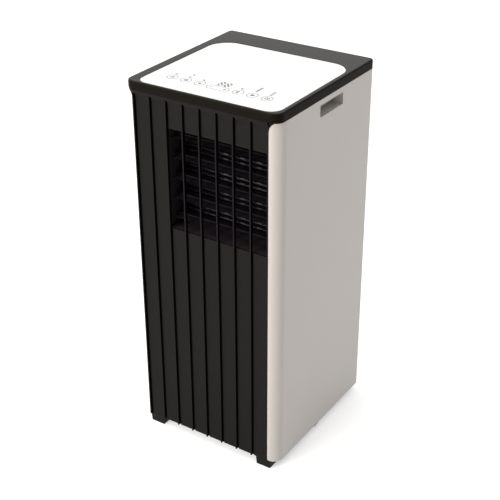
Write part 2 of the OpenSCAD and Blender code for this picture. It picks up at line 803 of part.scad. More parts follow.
module exhaust_shape(grow) {
  z0 = exhaust_z - exhaust_r - 2;
  z1 = lower_axis[1] + lower_reach;
  y1 = rear_in_y - 16;
  hull() {
    span3([lower_case_x[0] - grow, lower_case_y + fit - (grow > 0 ? 0 : 0.1), z0 - grow],
      [lower_case_x[1] + grow, lower_case_y + 2, z1 + grow]);
    rod_y([exhaust_x, y1 - 1 + (grow > 0 ? 0 : 0.1), exhaust_z], exhaust_r + grow, 1, $fn = 64);
  }
}

module exhaust_duct() {
  color("#4a4a4c") difference() {
    exhaust_shape(duct_t);
    exhaust_shape(0);
  }
}

module exhaust_collar() {
  y0 = rear_in_y - 16 + fit;
  color("#2b2b2d") difference() {
    union() {
      rod_y([exhaust_x, y0, exhaust_z], exhaust_r + collar_t, back_y - y0);
      rod_y([exhaust_x, y0, exhaust_z], exhaust_r + collar_t + 4, 4);
    }
    rod_y([exhaust_x, y0 - 1, exhaust_z], exhaust_r, back_y - y0 + 2, $fn = 128);
  }
}

// ---------- compressor circuit ----------

module can(r, h, dome) {
  big = (r * r + dome * dome) / (2 * dome);
  rotate_extrude($fn = 96) {
    span2([0, dome + 1], [r, h - dome - 1]);
    for (low = [0, h - dome - 2]) intersection() {
      translate([0, low > 0 ? h - big : big]) circle(big, $fn = 192);
      span2([0, low], [r, low + dome + 2]);
    }
  }
}

module compressor() {
  color("#222326") translate([comp_x, comp_y, comp_z]) {
    difference() {
      union() {
        for (a = [90, 210, 330]) rotate(a) {
          translate([0, -8, 0]) cube([comp_foot_r, 16, 3]);
          translate([comp_foot_r, 0, 0]) cylinder(r = 8, h = 3);
        }
      }
      for (a = [90, 210, 330]) rotate(a) translate([comp_foot_r, 0, -1]) cylinder(r = 5 + run, h = 5);
    }
    translate([0, 0, 2.6]) can(comp_r, comp_h, 14);
    for (z = [24, comp_h - 22]) translate([0, 0, z]) cylinder(r = comp_r + 1.5, h = 5);
    translate([0, 0, comp_h - 6]) cylinder(r = 13, h = 18);
  }
}

module compressor_grommets() {
  color("#35342f") for (a = [90, 210, 330])
    translate([comp_x, comp_y, pan_z + pan_t]) rotate(a) translate([comp_foot_r, 0, 0]) {
      difference() {
        union() {
          cylinder(r = 7.5, h = 12);
          cylinder(r = 5, h = 18);
          translate([0, 0, 15.2]) cylinder(r = 7.5, h = 4);
        }
        translate([0, 0, -1]) cylinder(r = 3, h = 30);
      }
    }
}

module accumulator() {
  color("#222326") {
    translate([accu_x, accu_y, accu_z]) can(accu_r, accu_h, 9);
    // saddle welded to the compressor
    dir = atan2(comp_y - accu_y, comp_x - accu_x);
    gap = norm([comp_x - accu_x, comp_y - accu_y]) - comp_r;
    translate([accu_x, accu_y, accu_z + 40]) rotate(dir) translate([accu_r - 3, -6, 0])
      cube([gap - accu_r + 2.6, 12, 20]);
  }
}

module refrigerant_pipes() {
  evap_out = evap_z + 1.5 * evap_pitch;
  evap_in = evap_z + 4.5 * evap_pitch;
  cond_in = cond_z + (cond_rows - 0.5) * cond_pitch;
  cond_out = cond_z + 0.5 * cond_pitch;
  top_x = comp_x + 25;
  top_z = comp_top + 17;
  color("#b87344") {
    // cold suction line, evaporator to accumulator
    pipe([[-evap_x - bend_reach, coil_mid_y, evap_out], [suction_x, coil_mid_y, evap_out],
      [suction_x, coil_mid_y, 300], [suction_x, accu_y, 300], [accu_x, accu_y, 300],
      [accu_x, accu_y, accu_z + accu_h + 0.3]], pipe_r, 6, [0, 1, 0]);
    // hot discharge line, compressor to condenser
    pipe([[top_x, comp_y, comp_top - 2.2], [top_x, comp_y, top_z], [discharge_x, comp_y, top_z],
      [discharge_x, coil_mid_y, top_z], [discharge_x, coil_mid_y, cond_in],
      [-cond_x - bend_reach, coil_mid_y, cond_in]], pipe_r, 6, [0, 1, 0]);
    // thin liquid line, condenser to evaporator
    pipe([[-cond_x - bend_reach, coil_mid_y, cond_out], [liquid_x, coil_mid_y, cond_out],
      [liquid_x, liquid_y, cond_out], [liquid_x, liquid_y, evap_in], [liquid_x, coil_mid_y, evap_in],
      [-evap_x - bend_reach, coil_mid_y, evap_in]], 2, 4, [0, 0, 1], 8);
  }
}

// ---------- pan water ----------

module splash_motor() {
  color("#6d6f72") {
    rod_y([splash_x, 52, splash_z], 17, 26);
    rod_y([splash_x, 77, splash_z], 3, 16);
    span3([splash_x - 13, 56, pan_z + pan_t], [splash_x + 13, 74, splash_z - 8]);
  }
}

module splash_wheel() {
  color("#dcdcda") translate([splash_x, 0, splash_z]) difference() {
    union() {
      rod_y([0, 82, 0], 20, 2);
      rod_y([0, 80.5, 0], 6, 9);
      for (a = [0 : 45 : 315]) rotate([0, a, 0]) translate([8, 82, -0.8]) cube([16, 7, 1.6]);
    }
    rod_y([0, 79, 0], 3 + run, 12);
  }
}

module water_float() {
  color("#e3e2de") translate([float_x, float_y, pan_z + pan_t + 5]) difference() {
    cylinder(r = 12, h = 14);
    translate([0, 0, -1]) cylinder(r = float_post_r + run, h = 20);
  }
}

// ---------- electrics ----------

module electrical_box() {
  color("#8a8d90") difference() {
    span3([48, pan_y0, 71], [seam_x, pan_y0 + 50, 212]);
    span3([50, pan_y0 + 2, 73], [seam_x - 2, pan_y0 + 51, 210]);
  }
  color("#1f6b45") {
    span3([53, pan_y0 + 8, 78], [117, pan_y0 + 9.6, 204]);
    for (x = [60, 110], z = [84, 196]) rod_y([x, pan_y0 + 1.5, z], 3, 7);
    for (z = [96, 126, 156]) span3([62, pan_y0 + 9, z], [84, pan_y0 + 26, z + 20]);
  }
}

module run_capacitor() {
  color("#b9bbbd") {
    translate([28, pan_y0 + 24, pan_z + pan_t + 14]) cylinder(r = 17, h = 72);
    translate([28, pan_y0 + 24, pan_z + pan_t]) cylinder(r = 9, h = 15);
    span3([43, pan_y0 + 18, 80], [48 - 0.2, pan_y0 + 30, 100]);
  }
}

module cord_gland() {
  color("#1d1d1e") difference() {
    union() {
      rod_y([gland_x, rear_in_y - 10, gland_z], gland_r, 12.2);
      rod_y([gland_x, rear_in_y - 10, gland_z], gland_r + 2, 6.6);
    }
    rod_y([gland_x, rear_in_y - 20, gland_z], 4, 40);
  }
}

// ---------- filters and drains ----------

module filter_frame(z0, h) {
  x = window_half_w - fit;
  y0 = rear_in_y - 2;
  n = floor((h - 10) / 12);
  color("#c9c6c0") {
    difference() {
      span3([-x, y0, z0 + fit], [x, rear_y, z0 + h - fit]);
      span3([-x + 7, y0 - 1, z0 + 7], [x - 7, rear_y + 1, z0 + h - 7]);
    }
    for (i = [0 : n - 1]) translate([0, 0, z0 + 7 + (i + 0.5) * (h - 14) / n])
      span3([-x + 6, y0 + 1, -1.1], [x - 6, rear_y - 0.5, 1.1]);
    for (s = [-1, 0, 1]) span3([s * x / 2 - 1.5, y0, z0 + 6], [s * x / 2 + 1.5, rear_y - 1.5, z0 + h - 6]);
  }
}

module filter_mesh(z0, h) {
  x = window_half_w - 2;
  y1 = rear_in_y - 2.1;
  color("#5a5e63") difference() {
    span3([-x, y1 - 1.2, z0 + 2], [x, y1, z0 + h - 2]);
    for (i = [0 : 9], s = [0 : 4]) let (w = (2 * x - 12) / 10, g = (h - 16) / 5)
      span3([-x + 7 + i * w, y1 - 2, z0 + 9 + s * g], [-x + 5 + (i + 1) * w, y1 + 1, z0 + 7 + (s + 1) * g]);
  }
}

module upper_filter_frame() filter_frame(upper_window_z, upper_window_h);
module upper_filter_mesh() filter_mesh(upper_window_z, upper_window_h);
module lower_filter_frame() filter_frame(lower_window_z, lower_window_h);
module lower_filter_mesh() filter_mesh(lower_window_z, lower_window_h);

module drain_spout(z) {
  color("#3b3b3d") difference() {
    union() {
      rod_y([spout_x, rear_in_y - 7.8, z], spout_r, 10.6);
      rod_y([spout_x, rear_in_y - 7.3, z], spout_r + 3, 4);
    }
    rod_y([spout_x, rear_in_y - 30, z], spout_bore_r, 40);
  }
}

module drain_plug(z) {
  color("#26241f") {
    rod_y([spout_x, rear_in_y - 6, z], spout_bore_r - run, 10);
    rod_y([spout_x, rear_in_y + 3, z], spout_r + 1.5, 1.5);
  }
}

module upper_drain_spout() drain_spout(upper_spout_z);
module lower_drain_spout() drain_spout(lower_spout_z);
module upper_drain_plug() drain_plug(upper_spout_z);
module lower_drain_plug() drain_plug(lower_spout_z);

// ---------- base and supports ----------

module pan_posts() {
  translate([float_x, float_y, pan_z]) cylinder(r = float_post_r, h = 46);
  for (s = [-1, 1]) translate([s * caster_x, caster_y, 36.5]) cylinder(r = 9, h = 14);
  for (a = [90, 210, 330]) translate([comp_x, comp_y, pan_z]) rotate(a)
    translate([comp_foot_r, 0, 0]) cylinder(r = 2.9, h = 20);
}

// tray with an upstanding wall and a hollow underside
module base_pan() {
  color("#2b2926") difference() {
    union() {
      difference() {
        translate([0, 0, ground_gap + 0.5]) linear_extrude(pan_z + pan_t + pan_wall_h - ground_gap - 0.5)
          pan_plan(0);
        translate([0, 0, pan_z + pan_t]) linear_extrude(60) pan_plan(-panel_t);
        linear_extrude(pan_z) pan_plan(-panel_t);
      }
      pan_posts();
    }
    for (s = [-1, 1]) translate([s * caster_x, caster_y, 30]) cylinder(r = stem_r + run, h = 17);
    rod_y([spout_x, pan_y1 - 10, lower_spout_z], spout_r + fit, 20);
    rod_y([gland_x, pan_y1 - 10, gland_z], gland_r + 2 + fit, 20);
  }
}

module pan_plan(grow) {
  r = wrap_r - panel_t - seam_gap;
  soft_plan([-pan_x + left_inset - grow, pan_y0 - grow], [pan_x + grow, pan_y1 + grow], r, 10);
}

// block foot with drafted sides and a post up to the pan's floor
module front_feet() {
  color("#2a2825") for (s = [-1, 1]) translate([s * foot_x, 0, 0]) {
    along_y(strip_y, strip_y + foot_d)
      polygon([[-foot_w / 2 + 1.5, 0], [foot_w / 2 - 1.5, 0],
        [foot_w / 2, ground_gap], [-foot_w / 2, ground_gap]]);
    span3([-foot_w / 2 + 4, pan_y0 + panel_t + 4, ground_gap - 1],
      [foot_w / 2 - 10, strip_y + foot_d - 3, pan_z]);
  }
}

module side_glides() {
  x1 = pan_x - panel_t;
  color("#2a2825") for (s = [0, 1]) mirror([s, 0, 0]) translate([s > 0 ? -left_inset : 0, 0, 0])
    along_y(-1, 11) polygon([[x1 - 9, 0], [x1 - 3, 0], [x1 - 0.2, pan_z], [x1 - 14, pan_z]]);
}

module caster_swivel(s) {
  color("#303030") translate([s * caster_x, caster_y, 0]) {
    translate([0, 0, 33]) cylinder(r = stem_r, h = 13.5);
    translate([0, 0, 34.8]) cylinder(r = 8, h = 1.4);
    difference() {
      along_x(-3.6, 3.6) {
        translate([caster_trail, caster_r]) circle(caster_r - 4);
        span2([-5, caster_r], [caster_trail, 35.5]);
      }
      rod_x([-5, caster_trail, caster_r], 3 + run, 10);
    }
  }
}

module caster_wheels(s) {
  color("#1c1c1c") translate([s * caster_x, caster_y + caster_trail, caster_r]) {
    for (t = [-1, 1]) rotate([0, 90, 0]) translate([0, 0, t * 8.2]) rotate_extrude() {
      translate([0, -4]) square([caster_r - 2, 8]);
      translate([0, -2.5]) square([caster_r, 5]);
      for (k = [-2, 2]) translate([caster_r - 2, k]) circle(2);
    }
    rod_x([-5, 0, 0], 3, 10);
  }
}

module left_caster_swivel() caster_swivel(-1);
module left_caster_wheels() caster_wheels(-1);
module right_caster_swivel() caster_swivel(1);
module right_caster_wheels() caster_wheels(1);

base_pan();
front_feet();
side_glides();
front_panel();
right_side_panel();
left_side_panel();
rear_panel();
top_frame();
touch_panel();
display_module();
control_board();
right_handle_cup();
left_handle_cup();
outlet_duct();
outlet_slats();
louvre_blade_1();
louvre_blade_2();
louvre_blade_3();
louvre_blade_4();
louvre_blade_5();
louvre_link();
louvre_motor();
middle_deck();
evaporator_coil();
condenser_coil();
upper_blower_case();
upper_blower_wheel();
upper_fan_motor();
lower_blower_case();
lower_blower_wheel();
lower_fan_motor();
exhaust_duct();
exhaust_collar();
compressor();
compressor_grommets();
accumulator();
refrigerant_pipes();
splash_motor();
splash_wheel();
water_float();
electrical_box();
run_capacitor();
cord_gland();
upper_filter_frame();
upper_filter_mesh();
lower_filter_frame();
lower_filter_mesh();
upper_drain_spout();
upper_drain_plug();
lower_drain_spout();
lower_drain_plug();
left_caster_swivel();
left_caster_wheels();
right_caster_swivel();
right_caster_wheels();
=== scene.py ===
"""Portable air conditioner: studio scene, finishes and printed details.

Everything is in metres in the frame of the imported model: origin on the floor under the middle of the
cabinet, +X to its right, front towards -Y, +Z up.
"""

import math

import bpy
import numpy as np
from mathutils import Matrix, Vector


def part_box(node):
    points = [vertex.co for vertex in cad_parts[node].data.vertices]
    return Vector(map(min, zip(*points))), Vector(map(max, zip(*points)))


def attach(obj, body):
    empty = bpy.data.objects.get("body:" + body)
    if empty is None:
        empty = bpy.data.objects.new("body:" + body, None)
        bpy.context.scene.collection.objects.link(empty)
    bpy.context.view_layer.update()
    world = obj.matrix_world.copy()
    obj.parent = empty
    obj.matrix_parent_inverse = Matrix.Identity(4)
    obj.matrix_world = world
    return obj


bl_info = {
    "name": "Portable air conditioner",
    "version": (1, 0, 0),
    "blender": (4, 5, 0),
    "location": "View3D > Sidebar > Air conditioner",
    "description": "Finishes, printed touch icons and studio for the portable air conditioner",
    "category": "Object",
}

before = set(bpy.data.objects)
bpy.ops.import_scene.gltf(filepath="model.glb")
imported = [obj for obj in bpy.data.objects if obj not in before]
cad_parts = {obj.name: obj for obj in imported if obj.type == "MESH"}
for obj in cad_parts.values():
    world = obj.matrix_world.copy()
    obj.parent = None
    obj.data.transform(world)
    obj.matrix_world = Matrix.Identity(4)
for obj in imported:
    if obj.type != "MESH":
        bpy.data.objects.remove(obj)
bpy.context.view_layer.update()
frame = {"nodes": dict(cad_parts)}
CAD_NODES = frame["nodes"]
MM = 0.001
# the tone of a moulding drifts over about this many millimetres
DRIFT_MM = 90
LEVEL = "Specular IOR Level"


# ---------- settings ----------


def linear(hex_colour):
    """sRGB hex text such as "#d8d5d0" as linear red, green, blue."""
    value = np.array([int(hex_colour[i : i + 2], 16) for i in (1, 3, 5)]) / 255
    return tuple(np.where(value <= 0.04045, value / 12.92, ((value + 0.055) / 1.055) ** 2.4))


def colour_prop(name, hex_colour, description):
    """A colour setting whose default is an sRGB hex value."""
    return bpy.props.FloatVectorProperty(
        name=name, description=description, subtype="COLOR", size=3, min=0, max=1, default=linear(hex_colour)
    )


def number_prop(name, value, description, **kind):
    """A plain number, unless kind gives it a subtype and a unit."""
    return bpy.props.FloatProperty(name=name, description=description, default=value, **kind)


def length_prop(name, mm, description):
    """A length setting whose default is in millimetres."""
    return number_prop(name, mm * MM, description, subtype="DISTANCE", unit="LENGTH", precision=5)


def angle_prop(name, degrees, description):
    """An angle setting whose default is in degrees."""
    return number_prop(name, math.radians(degrees), description, subtype="ANGLE")


# ---------- nodes ----------


def add_node(tree, kind, settings=None, **links):
    """Adds a node, sets its attributes and unlinked sockets, and links the named sockets."""
    node = tree.nodes.new(kind)
    for key, value in (settings or {}).items():
        if isinstance(key, str) and hasattr(node, key):
            setattr(node, key, value)
        else:
            node.inputs[key].default_value = value
    for key, source in links.items():
        tree.links.new(source, node.inputs[int(key[1:]) if key[0] == "_" else key.replace("_", " ")])
    return node


def new_material(name, **surface):
    """A material with one Principled shader; surface gives the shader's own sockets."""
    material = bpy.data.materials.new(name)
    material.use_nodes = True
    tree = material.node_tree
    tree.nodes.clear()
    shader = add_node(tree, "ShaderNodeBsdfPrincipled", surface)
    add_node(tree, "ShaderNodeOutputMaterial", Surface=shader.outputs[0])
    coords = add_node(tree, "ShaderNodeTexCoord").outputs["Object"]
    return material, tree, shader, coords


def features(size_mm, detail):
    """Noise settings for features that are size_mm across."""
    return {"Scale": 1 / (size_mm * MM), "Detail": detail, "Roughness": 0.55}


def surfaced(tree, shader, tone, tones, texture, roughness, depth_mm, strength):
    """Gives the shader a colour that runs between two tones with tone, and a roughness that runs between two
    values and bumps depth_mm deep, which both follow texture. Tone and texture go from 0 to 1."""
    dark, light = tones
    colours = {"data_type": "RGBA", 6: (*dark, 1), 7: (*light, 1)}
    colour = add_node(tree, "ShaderNodeMix", colours, _0=tone).outputs[2]
    limits = {"To Min": roughness[0], "To Max": roughness[1]}
    shine = add_node(tree, "ShaderNodeMapRange", limits, Value=texture).outputs[0]
    relief = {"Strength": strength, "Distance": depth_mm * MM}
    bumps = add_node(tree, "ShaderNodeBump", relief, Height=texture).outputs[0]
    for name, output in (("Base Color", colour), ("Roughness", shine), ("Normal", bumps)):
        tree.links.new(output, shader.inputs[name])


def scaled(colour, factor):
    """A colour made lighter or darker."""
    return tuple(min(1.0, c * factor) for c in colour)


# ---------- meshes ----------


def mesh_piece(name, points, faces, material, body, slot):
    """Puts points and faces into a mesh object, gives it its material and lets it ride on a body."""
    mesh = bpy.data.meshes.new(name)
    mesh.from_pydata(points.tolist(), [], faces if isinstance(faces, list) else faces.tolist())
    mesh.update()
    mesh.materials.append(material)
    piece = bpy.data.objects.new(name, mesh)
    bpy.context.scene.collection.objects.link(piece)
    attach(piece, body)


def joined(shells):
    """One (points, faces) pair from many, with the face numbers moved along."""
    start = np.cumsum([0] + [len(p) for p, f in shells[:-1]])
    return np.concatenate([p for p, f in shells]), np.concatenate([f + s for s, (p, f) in zip(start, shells)])


def arc(centre, radius, start, end, count):
    """Points on a circle from start to end degrees."""
    angle = np.radians(np.linspace(start, end, count))
    return np.column_stack([centre[0] + radius * np.cos(angle), centre[1] + radius * np.sin(angle)])


def ribbon(path, width, low, high, closed=False):
    """A flat printed line with a thickness: every point of the path is moved half the width to each side
    along the path's normal in plan, and each of the two edges has a low and a high copy. The four corners
    of a section are joined to the next section's, and an open path is capped at both ends."""
    path = np.asarray(path, float)
    step = np.roll(path, -1, 0) - np.roll(path, 1, 0)
    if not closed:
        step[0], step[-1] = path[1] - path[0], path[-1] - path[-2]
    normal = np.stack([-step[:, 1], step[:, 0]], 1) / np.linalg.norm(step, axis=1)[:, None]
    left, right = path + normal * width / 2, path - normal * width / 2
    corners = [(right, low), (left, low), (left, high), (right, high)]
    points = np.concatenate([np.column_stack([edge, np.full(len(path), z)]) for edge, z in corners])
    count = len(path)
    here = np.arange(count if closed else count - 1)
    there = (here + 1) % count
    faces = [
        np.column_stack([k * count + here, k * count + there, n * count + there, n * count + here])
        for k, n in ((1, 0), (2, 1), (3, 2), (0, 3))
    ]
    if not closed:
        first = np.arange(4)[None] * count
        faces += [first[:, ::-1], first + count - 1]
    return points, np.concatenate(faces)


def bar(centre, width, depth, low, high):
    """A flat bar with square ends, as a ribbon of two points."""
    x, y = centre
    return ribbon([[x - width / 2, y], [x + width / 2, y]], depth, low, high)


def blocks(centres, size):
    """Square-edged blocks of one size: the eight corners are the centre plus and minus half the size, and the
    six faces are numbered alike in every block."""
    signs = np.array([(x, y, z) for x in (-0.5, 0.5) for y in (-0.5, 0.5) for z in (-0.5, 0.5)])
    points = (np.asarray(centres)[:, None] + signs * np.asarray(size)).reshape(-1, 3)
    sides = np.array([(0, 1, 3, 2), (4, 6, 7, 5), (0, 4, 5, 1), (2, 3, 7, 6), (0, 2, 6, 4), (1, 5, 7, 3)])
    return points, (np.arange(len(centres))[:, None, None] * 8 + sides).reshape(-1, 4)


def skin(outer, inner):
    """A closed thin shell from two grids of points, rows by columns: both grids become faces, and the four
    edges are joined. Seen from outside, the outer grid's rows run to the right and its columns upwards."""
    rows, columns = outer.shape[:2]
    number = np.arange(rows * columns).reshape(rows, columns)
    a, b, c, d = number[:-1, :-1], number[1:, :-1], number[1:, 1:], number[:-1, 1:]
    front = np.stack([a, b, c, d], -1).reshape(-1, 4)
    back = front[:, ::-1] + rows * columns
    rim = np.concatenate([number[:, 0], number[-1, 1:], number[-2::-1, -1], number[0, -2:0:-1]])
    after = np.roll(rim, -1)
    edge = np.stack([after, rim, rim + rows * columns, after + rows * columns], -1)
    return np.concatenate([outer.reshape(-1, 3), inner.reshape(-1, 3)]), np.concatenate([front, back, edge])


# ---------- finishes ----------


def uneven(roughness):
    """The roughness that a mould's texture leaves, from its smooth places to its rough ones."""
    return roughness * 0.9, min(1, roughness * 1.12)


def moulded(name, colour, grain_mm, depth_mm, roughness, spread, **surface):
    """Injection-moulded plastic: a slow drift in tone, a fine mould texture and a slightly uneven shine."""
    material, tree, shader, coords = new_material(name, **surface)
    tone = add_node(tree, "ShaderNodeTexNoise", features(DRIFT_MM, 2), Vector=coords).outputs["Fac"]
    grain = add_node(tree, "ShaderNodeTexNoise", features(grain_mm, 3), Vector=coords).outputs["Fac"]
    tones = scaled(colour, 1 - spread), scaled(colour, 1 + spread)
    surfaced(tree, shader, tone, tones, grain, uneven(roughness), depth_mm, 0.6)
    return material


def ledged(name, colour, roughness, side_level, ledge_level):
    """The top frame's plastic: as moulded, with warm reflections that are faint round its sides and stronger
    on the ledge that faces up."""
    warm = {"Specular Tint": (1, 0.86, 0.72, 1)}
    material = moulded(name, colour, 1.6, 0.02, roughness, 0.04, **warm)
    tree = material.node_tree
    normal = add_node(tree, "ShaderNodeTexCoord").outputs["Normal"]
    up = add_node(tree, "ShaderNodeSeparateXYZ", _0=normal).outputs["Z"]
    levels = {"From Min": 0.3, "From Max": 0.9, "To Min": side_level, "To Max": ledge_level}
    level = add_node(tree, "ShaderNodeMapRange", levels, Value=up).outputs[0]
    shader = next(node for node in tree.nodes if node.bl_idname == "ShaderNodeBsdfPrincipled")
    tree.links.new(level, shader.inputs[LEVEL])
    return material


def ribbed_front_painted_shade(name, colour, face_y, roughness, level):
    """The front's plastic: as moulded, with painted shade behind its face and where it faces right, as on one
    flank of every rib, where less light gets there."""
    material, tree, shader, coords = new_material(name, **{LEVEL: level})
    depth = add_node(tree, "ShaderNodeSeparateXYZ", _0=coords).outputs["Y"]
    # the painted shade sets in 0.3 mm behind the face and is full at 1.1 mm
    shade_range = {"From Min": face_y + 0.3 * MM, "From Max": face_y + 1.1 * MM}
    deep = add_node(tree, "ShaderNodeMapRange", shade_range, Value=depth).outputs[0]
    facing = add_node(tree, "ShaderNodeNewGeometry").outputs["Normal"]
    sideways = add_node(tree, "ShaderNodeSeparateXYZ", _0=facing).outputs["X"]
    # painted shade where a face turns right, as on the ribs' right flanks
    flank = add_node(tree, "ShaderNodeMath", {"operation": "GREATER_THAN", 1: 0.7}, _0=sideways).outputs[0]
    shade = add_node(tree, "ShaderNodeMath", {"operation": "MAXIMUM"}, _0=deep, _1=flank).outputs[0]
    drift = add_node(tree, "ShaderNodeTexNoise", features(DRIFT_MM, 2), Vector=coords).outputs["Fac"]
    faint = add_node(tree, "ShaderNodeMapRange", {"To Min": 0.0, "To Max": 0.12}, Value=drift).outputs[0]
    tone = add_node(tree, "ShaderNodeMath", {"operation": "MAXIMUM"}, _0=shade, _1=faint).outputs[0]
    grain = add_node(tree, "ShaderNodeTexNoise", features(2.5, 3), Vector=coords).outputs["Fac"]
    # the darker tone is that of full painted shade
    tones = scaled(colour, 1.06), scaled(colour, 0.2)
    surfaced(tree, shader, tone, tones, grain, uneven(roughness), 0.03, 0.6)
    return material


def metal_sheet(name, colour, roughness, streak_mm):
    """Rolled or drawn metal: long faint streaks along X change its shine."""
    material, tree, shader, coords = new_material(name, Metallic=1.0)
    stretched = add_node(tree, "ShaderNodeMapping", {"Scale": (0.04, 1, 1)}, Vector=coords).outputs[0]
    streaks = add_node(tree, "ShaderNodeTexNoise", features(streak_mm, 4), Vector=stretched).outputs["Fac"]
    tones = scaled(colour, 0.9), scaled(colour, 1.08)
    surfaced(tree, shader, streaks, tones, streaks, (roughness * 0.75, roughness * 1.3), 0.02, 0.4)
    return material


def coil_finish(name, fin, copper, tube_from):
    """Aluminium fins in the middle and copper return bends beyond tube_from on both sides."""
    material, tree, shader, coords = new_material(name, Metallic=1.0)
    x = add_node(tree, "ShaderNodeSeparateXYZ", _0=coords).outputs["X"]
    away = add_node(tree, "ShaderNodeMath", {"operation": "ABSOLUTE"}, _0=x).outputs[0]
    beyond = {"operation": "GREATER_THAN", 1: tube_from}
    outside = add_node(tree, "ShaderNodeMath", beyond, _0=away).outputs[0]
    marks = add_node(tree, "ShaderNodeTexNoise", features(4, 4), Vector=coords).outputs["Fac"]
    surfaced(tree, shader, outside, (fin, copper), marks, (0.28, 0.5), 0.05, 0.3)
    return material


class AirconFinishes(bpy.types.PropertyGroup):
    """Colours of the plastics, metals and inks, and the places where a finish changes."""

    front: colour_prop("Front", "#0f0d0a", "Satin ABS of the ribbed front, the feet and the side glides")
    frame: colour_prop("Top frame", "#120f0c", "Fine-textured ABS of the top frame")
    white: colour_prop("White shell", "#a8a19b", "Gloss ABS of the side panels")
    rear: colour_prop("Rear shell", "#b3aea8", "Textured ABS of the rear panel and filter frames")
    touch: colour_prop("Touch panel", "#d8d7d5", "Back-painted acrylic of the touch panel")
    grip: colour_prop("Grip", "#b0aca7", "Textured ABS of the finger grips")
    outlet: colour_prop("Outlet", "#292327", "Matt black ABS of the outlet duct")
    louvre: colour_prop("Louvres", "#191519", "Smooth black ABS of the louvre and the slats")
    # the clips' nylon is lighter than the slats: it paints the glints of light on the slats between the ribs
    clip: colour_prop("Clips", "#302e31", "Nylon of the slats' clips")
    pan: colour_prop("Pan", "#232220", "Polypropylene of pan and deck; the filters' mesh is paler")
    # the cases' and the wheels' dark colours are painted shade, so the inside seen through the outlet stays
    # dark
    case: colour_prop("Blower cases", "#3c373c", "Talc-filled polypropylene of the blower cases")
    fittings: colour_prop("Fittings", "#d5d5d2", "Polypropylene of float, splash wheel and louvre motor")
    wheel: colour_prop("Blower wheel", "#1b191c", "Filled nylon of the blower wheels")
    rubber: colour_prop("Rubber", "#191919", "Rubber of plugs, cord gland, grommets and caster wheels")
    dark: colour_prop("Dark plastic", "#2b2b2d", "ABS of duct, collar, spouts, caster forks and display")
    steel: colour_prop("Steel", "#9a9c9f", "Zinc-coated steel of the electrical box and the screws")
    motor: colour_prop("Motor", "#54575b", "Enamel of the motors")
    enamel: colour_prop("Compressor", "#1c1d20", "Black enamel of compressor and accumulator")
    fins: colour_prop("Fins", "#c9cbce", "Aluminium of the coils' fins and the capacitor's can")
    copper: colour_prop("Copper", "#b87344", "Drawn copper of the pipes and the coils' bends")
    board: colour_prop("Board", "#1d5f3f", "Solder mask of the control board")
    ring_ink: colour_prop("Ring ink", "#5c5c62", "Ink of the icons' rings")
    glyph_ink: colour_prop("Icon ink", "#2f2e33", "Ink of the icons")
    mark: colour_prop("Marks", "#1c1b1f", "Ink of the indicator marks")
    digits: colour_prop("Digits", "#141440", "Display segments seen through the panel")
    front_rough: number_prop("Front roughness", 0.5, "Roughness of the front and its black corner")
    front_level: number_prop("Front gloss", 0.08, "Reflection level of the front and its black corner")
    face_y: length_prop("Front face", -143.4, "Distance of the front's flat strips from the middle")
    bends: length_prop("Return bends", 12.5, "Reach of the copper bends at each end of a coil")


